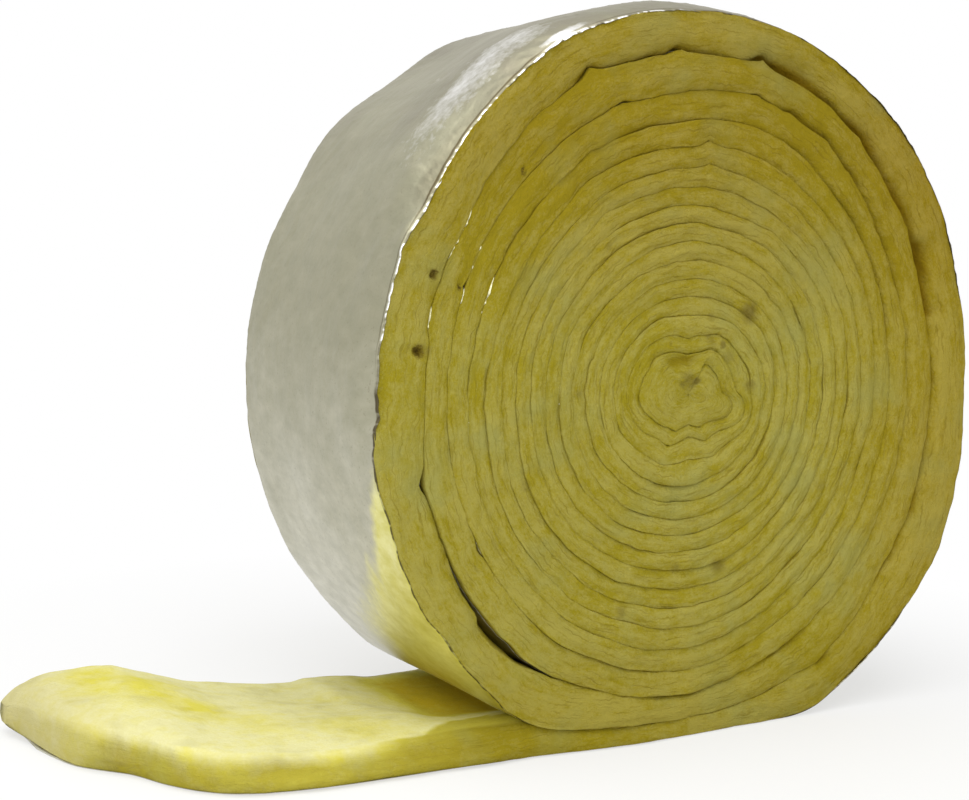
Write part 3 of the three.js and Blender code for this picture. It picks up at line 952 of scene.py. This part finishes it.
def foil_relief(turn, across):
    """Height of the facing over its smooth shape: broad dents, small dimples, sharp creases that
    run askew near the front edge, and a fine flutter with a curl right at that edge. It is calmer at
    the lower left, and the dents and creases die out towards the edges."""
    spot = laid_flat(turn, across)
    along = spot[..., 0]
    edge = HALF_WIDTH - np.abs(across)
    at_front = across < 0
    calm = 1 - 0.6 * ease(turn * 360 - 90, 176, 196)
    dents = layered_noise(spot, (0.9, 46, 21), (0.3, 19, 22)) * (0.5 + 0.5 * calm) * ease(edge, 0, 14 * MM)
    dimples = 0.10 * soft_noise(spot, 7, 23) * calm
    ridge = 1 - np.abs(soft_noise(stacked(along + 0.8 * across, across - 0.5 * along, 0), (30, 6, 1), 24))
    creases = 0.4 * ridge**6 * ease(edge, 60 * MM, 12 * MM) * ease(edge, 0, 5 * MM) * calm
    flutter = layered_noise(spot, (1, (2.4, 4, 1), 25), (0.6, (6, 9, 1), 26))
    flutter = 0.3 * flutter * ease(edge, 2.2 * MM, 0) * np.where(at_front, 1, 0.3)
    curl = 0.45 * ease(edge, 1.4 * MM, 0) * at_front
    return MM * (dents + dimples + creases + flutter - curl)


def outer_foil(turn, across, depth):
    """Points on the outermost turn of the facing, the given depth under its outer side. Towards each
    edge it bends in by a parabola, less at the back, and away from the tail it stops a little short of
    the edge. Near the floor it is smooth."""
    turn, across = np.broadcast_arrays(turn, across)
    share = np.clip((np.abs(across) - HALF_WIDTH + EDGE_MARGIN) / EDGE_MARGIN, 0, 1)
    clear = ease(foil_radius(turn) * np.sin(winding_angle(turn)) + CENTRE_HEIGHT, 2 * MM, 34 * MM)
    bend = EDGE_DROP * share * share * margin_drop(turn) * np.where(across < 0, 1, 0.25)
    radius = foil_radius(turn) - bend + foil_relief(turn, across) * clear - depth
    to_tail = ease(degrees_at(turn), 70, 92) * ease(degrees_at(turn), 250, 235)
    short = 0.15 * MM * (1 - to_tail) * ease(HALF_WIDTH - np.abs(across), 4 * MM, 0)
    return in_winding(turn, radius, across - np.sign(across) * short)


def tail_reflection_mask(turn, across):
    """Where the facing is painted with a reflection of the yellow tail, 0 to 1: a margin that widens
    downwards at the lower left, with a reach made ragged by noise."""
    degrees = degrees_at(turn)
    reach = 2 + 36 * ease(degrees, 190, 214) + 64 * ease(degrees, 206, 232)
    reach = reach + layered_noise(laid_flat(turn, across), (5, (30, 9, 1), 32), (2, 4, 33))
    reach = np.maximum(reach, 1) * MM
    here = ease(degrees, 188, 197) * ease(degrees, 268, 250)
    return here * ease(across + HALF_WIDTH, 1.5 * reach, 0.5 * reach)


def bare_metal_and_painted_light(turn, across):
    """Where the facing is bright, 0 to 1, or dark, to -1: clean metal and painted light. Its front rim is
    bright at the upper left, bare cut metal with painted glints, broken by painted dark gaps and with a
    painted shade line beside it, and a painted dark line elsewhere. Next to that rim the facing is
    darkened by painted shade at the top, with a crinkled painted highlight further in and a smooth
    painted highlight lens."""
    degrees = degrees_at(turn)
    from_edge = across + HALF_WIDTH
    beads = along_noise(turn, 1.6, 29) + 0.9 * along_noise(turn, 4.5, 30)
    upper_left = ease(degrees, 86, 100) * ease(degrees, 182, 168)
    # The rim: bare cut metal with painted glints, broken by painted dark gaps; below the upper left, a
    # painted dark line.
    rim = upper_left * (1.45 * ease(beads, -0.8, 0.3) - 0.45)
    rim = rim - (1 - upper_left) * np.clip(0.9 + 0.5 * beads, 0.4, 1)
    cloud = 0.85 + layered_noise(laid_flat(turn, across), (0.3, (26, 14, 1), 27), (0.2, (9, 6, 1), 28))
    # Painted highlights: a crinkled smear further in, and a smooth lens by the rim.
    painted_highlight = 0.5 * ease(degrees, 110, 120) * ease(degrees, 150, 130) * hump(from_edge - 24 * MM, 17 * MM)
    lens = hump(degrees - 116, 3.6) * ease(from_edge, 7 * MM, 4 * MM)
    # Painted shade: the facing is darkened next to the rim at the top, and a dark line runs beside the rim.
    dull = 0.38 * ease(degrees, 112, 118) * ease(degrees, 155, 146) * ease(from_edge, 15 * MM, 5 * MM)
    dark_line = 0.5 * upper_left * hump(from_edge - 1.4 * MM, 0.5 * MM)
    flat = painted_highlight * cloud + 1.1 * lens - dull + 0.3 * tail_reflection_mask(turn, across) - dark_line
    at_rim = ease(from_edge, (1.25 - 0.45 * upper_left) * MM, (0.65 - 0.35 * upper_left) * MM)
    return flat + (rim - flat) * at_rim


def foil_facing():
    """The facing as one strip of rings: plain under the tail, dense where it is open to view, and
    four points a ring on the inner turns, where its front edge is recessed but for the glints."""
    floor_x = np.concatenate([np.linspace(TAIL_END, TAIL_END + TORN_LENGTH, 30),
                              np.linspace(TAIL_END + TORN_LENGTH, 0, 60)[1:]])
    front, back = tail_front(floor_x) + tuck(floor_x) + 0.4 * MM, tail_back(floor_x)
    floor = np.stack([stacked(floor_x, across, height) for across, height in (
        (front, 0), (back, 0), (back, FOIL_THICKNESS), (front, FOIL_THICKNESS))], 1)

    turn = even_turns(OPEN_START, OPEN_END, FOIL_STEP)[:, None]
    columns = edge_columns() - HALF_WIDTH
    under = columns[::-1][UNDER_PICKS]
    open_rings = np.concatenate([outer_foil(turn, columns, 0), outer_foil(turn, under, FOIL_THICKNESS)], 1)
    places = np.broadcast_arrays(turn, np.concatenate([columns, under]))

    turn = even_turns(OPEN_END + 0.005, INNER_END - 0.004, INNER_STEP)
    for line, first, last in GLINTS:
        count = int(np.radians(last - first) * foil_radius(line) / GLINT_STEP) + 2
        turn = np.append(turn, np.linspace(turn_at(line, first), turn_at(line, last), count))
    turn = np.sort(turn)[:, None]
    raised = sum(hump((turn - turn_at(line, (first + last) / 2)) * 360, (last - first) / 2, 4)
                 for line, first, last in GLINTS)
    raised = np.clip(raised, 0, 1)
    beads = along_noise(turn, 1.6, 31)
    edge = HALF_WIDTH - 1.25 * MM - FOIL_RECESS * (1 - raised)
    edge = edge + (0.3 * beads + (0.3 + 0.6 * beads) * raised) * MM
    depth = np.array([0, 0, FOIL_THICKNESS, FOIL_THICKNESS])
    wound = in_winding(turn, foil_radius(turn) - depth, edge * (-1, 1, 1, -1))

    thin = [1, 1, 1, 1]
    body = ring_body("foil_laminate_facing", [
        (floor, thin), (open_rings, [len(columns) - 1, 1, len(under) - 1, 1]), (wound, thin)])
    plain = np.zeros((len(floor_x), len(thin)))
    raised = np.broadcast_to(raised, wound.shape[:2])
    # Painted glints: the raised inner edges are made brighter and cream.
    carry(body, "bare_and_painted_light", [plain, bare_metal_and_painted_light(*places), 0.3 * raised])
    carry(body, "yellow_reflection", [plain, tail_reflection_mask(*places), 0.4 * raised])
    return body


CLEAN_FOIL_AND_HIGHLIGHT = (0.90, 0.89, 0.87)
PALE_FOIL = (0.640, 0.620, 0.500)
GREY_FOIL = (0.390, 0.372, 0.262)
BROWNER_TOP_FOIL = (0.262, 0.240, 0.175)
FOIL_MOTTLE = (0.300, 0.295, 0.200)
FOIL_SPECK = (0.24, 0.22, 0.15)
RIM_SHADE = (0.070, 0.052, 0.022)
YELLOW_REFLECTION = (0.72, 0.68, 0.20)
CREAM_REFLECTION = (0.86, 0.83, 0.40)


def foil_finish():
    """Dull aluminium: a warm grey metal clouded by handling, paler low down with a painted reflection of
    the bright floor, and browner towards the top, with dimples, specks and a fine grain. It is clean and
    bright where it is bare, and also where highlights and glints are painted, yellow and cream with a
    painted reflection of the tail and painted glints, and dark with painted shade at its rim."""
    material, tree, shader = finish_material("aluminium_laminate")
    place, axes = object_place(tree)
    mottle = noise(tree, place, 120, 3, 0.65, (1, 0.6, 1))
    speck = noise(tree, place, 700, 2, 0.6)
    crinkle = noise(tree, place, 260, 3, 0.6)
    height = ragged(tree, axes["Z"], noise(tree, place, 16, 4, 0.6), 30 * MM)
    bare_and_painted_light = spread(tree, ragged(tree, carried(tree, "bare_and_painted_light"), crinkle, 0.12), 0.12, 0.7)
    # Painted reflection: the yellow tail shown in the facing at the lower left, and a cream tint on the
    # glints.
    yellow_reflection = spread(tree, ragged(tree, carried(tree, "yellow_reflection"), crinkle, 0.1), 0.1, 0.8)
    yellow_reflection_colour = blend_colour(tree, spread(tree, mottle, 0.35, 0.65), YELLOW_REFLECTION, CREAM_REFLECTION)
    # Paler low down, a painted reflection of the bright floor, and browner towards the top.
    colour = blend_colour(tree, spread(tree, height, 50 * MM, 200 * MM), PALE_FOIL, GREY_FOIL)
    for factor, layer in (
            (spread(tree, height, 270 * MM, 345 * MM), BROWNER_TOP_FOIL),
            (spread(tree, mottle, 0.3, 0.7, 0, 0.5), FOIL_MOTTLE),
            (spread(tree, speck, 0.62, 0.72, 0, 0.4), FOIL_SPECK),
            # Painted highlights and glints, as bright clean foil, with the bare metal; then the painted
            # reflection of the tail.
            (bare_and_painted_light, CLEAN_FOIL_AND_HIGHLIGHT), (yellow_reflection, yellow_reflection_colour),
            # Painted shade: the dark lines at the rim.
            (spread(tree, carried(tree, "bare_and_painted_light"), -0.15, -0.7, 0, 0.9), RIM_SHADE)):
        colour = blend_colour(tree, factor, colour, layer)
    dull = spread(tree, height, 80 * MM, 200 * MM, 0.30, 0.46)
    for layer, change in ((bare_and_painted_light, -0.17), (yellow_reflection, 0.12)):
        dull = calculate(tree, "ADD", dull, calculate(tree, "MULTIPLY", layer, change))
    pucker = noise(tree, place, 150, 2, 0.5)
    grain = calculate(tree, "MULTIPLY", noise(tree, place, 460, 3, 0.7), 0.35)
    normal = bumped(tree, calculate(tree, "ADD", pucker, grain),
                    spread(tree, height, 60 * MM, 180 * MM, 0.18, 0.5), 0.7 * MM)
    fill(tree, shader, {"Base Color": colour, "Metallic": 1.0, "Roughness": dull, "Normal": normal})
    return material


foil = foil_facing()
foil.data.materials.append(foil_finish())
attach(foil, "root")
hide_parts("foil_facing")


# ---- The room -----------------------------------------------------------------------------------
# A pale floor that shows as white to the eye and keeps the roll's shadow, large soft lamps above and
# in front, and a camera at the roll's front, a little to the tail's side.

FLOOR_SIDE = 12.0
FLOOR_DROP = 0.2 * MM             # the floor lies this far under the facing
SHADOW_MIDDLE = (-50 * MM, 0, 0)


def seen_directly(tree):
    """1 for rays to the camera, in a mirror or through glass, and 0 for rays that carry light."""
    paths = node(tree, "ShaderNodeLightPath")
    most = calculate(tree, "MAXIMUM", paths.outputs["Is Camera Ray"], paths.outputs["Is Glossy Ray"])
    return calculate(tree, "MAXIMUM", most, paths.outputs["Is Transmission Ray"])


def mix_shaders(tree, factor, first, second):
    """The first shader at factor 0, the second at 1."""
    return fill(tree, node(tree, "ShaderNodeMixShader"), {0: factor, 1: first, 2: second}).outputs["Shader"]


def pale_floor():
    """A wide flat sheet of floor. To the eye and in reflections it is white, shaded only near the roll
    by a straight ramp over the distance from it."""
    half = FLOOR_SIDE / 2
    mesh = bpy.data.meshes.new("floor")
    corners = [(-half, -half), (half, -half), (half, half), (-half, half)]
    mesh.from_pydata([(x, y, -FLOOR_DROP) for x, y in corners], [], [(0, 1, 2, 3)])
    sheet = bpy.data.objects.new("floor", mesh)
    bpy.context.scene.collection.objects.link(sheet)
    material, tree, shader = finish_material("floor_white")
    fill(tree, shader, {"Base Color": (0.86, 0.86, 0.85), "Roughness": 1.0})
    place, _ = object_place(tree)
    far = spread(tree, on_vectors(tree, "DISTANCE", place, SHADOW_MIDDLE)["Value"], 0.20, 0.45, 0.55, 1)
    white = node(tree, "ShaderNodeEmission", Color=(1, 1, 1, 1), Strength=1.0)
    shown = calculate(tree, "MULTIPLY", far, seen_directly(tree))
    mixed = mix_shaders(tree, shown, shader.outputs["BSDF"], white.outputs["Emission"])
    fill(tree, tree.nodes["Material Output"], {"Surface": mixed})
    mesh.materials.append(material)
    return sheet


floor = pale_floor()


def surroundings():
    """White to the eye and in reflections, dimmer as a light."""
    world = bpy.data.worlds.new("surroundings")
    world.use_nodes = True
    tree = world.node_tree
    tree.nodes.clear()
    lit = node(tree, "ShaderNodeBackground", Color=(1, 1, 1, 1), Strength=0.6).outputs["Background"]
    seen = node(tree, "ShaderNodeBackground", Color=(1, 1, 1, 1), Strength=1.0).outputs["Background"]
    mixed = mix_shaders(tree, seen_directly(tree), lit, seen)
    fill(tree, node(tree, "ShaderNodeOutputWorld"), {"Surface": mixed})
    bpy.context.scene.world = world


def soft_lamp(name, place, aim, size, power):
    """A rectangular area lamp at a place, turned to aim at a point."""
    light = bpy.data.lights.new(name, "AREA")
    light.shape = "RECTANGLE"
    light.size, light.size_y = size
    light.energy = power
    lamp = bpy.data.objects.new(name, light)
    bpy.context.scene.collection.objects.link(lamp)
    lamp.location = place
    lamp.rotation_euler = (Vector(aim) - Vector(place)).to_track_quat("-Z", "Y").to_euler()


surroundings()
soft_lamp("lamp_above", (-0.5, -0.35, 1.5), (-0.05, 0, 0.15), (1.7, 1.5), 18.6)
soft_lamp("lamp_front", (-0.8, -1.9, 0.7), (0, 0, 0.15), (2.2, 1.3), 13.2)

CAMERA_TARGET = Vector((-74.815 * MM, 0, 161.562 * MM))
CAMERA_DISTANCE = 882.33 * MM
CAMERA_AZIMUTH = np.radians(-29.258)
CAMERA_ELEVATION = np.radians(5.761)
CAMERA_ROLL = np.radians(1.0)
LENS_PIXELS = 1748.96             # the lens's length, and the picture's width, in pixels
VIEW_WIDTH = 969
SENSOR_WIDTH = 36


def camera():
    """The camera looks at its target from a distance, at an azimuth, an elevation and a small roll."""
    flat = np.cos(CAMERA_ELEVATION)
    back = Vector((np.sin(CAMERA_AZIMUTH) * flat, -np.cos(CAMERA_AZIMUTH) * flat, np.sin(CAMERA_ELEVATION)))
    data = bpy.data.cameras.new("camera")
    data.sensor_width = SENSOR_WIDTH
    data.lens = LENS_PIXELS / VIEW_WIDTH * SENSOR_WIDTH
    made = bpy.data.objects.new("camera", data)
    bpy.context.scene.collection.objects.link(made)
    turn = (-back).to_track_quat("-Z", "Y").to_matrix().to_4x4() @ Matrix.Rotation(CAMERA_ROLL, 4, "Z")
    made.matrix_world = Matrix.Translation(CAMERA_TARGET + back * CAMERA_DISTANCE) @ turn
    return made


scene = bpy.context.scene
scene.camera = camera()
scene.view_settings.view_transform = "Standard"
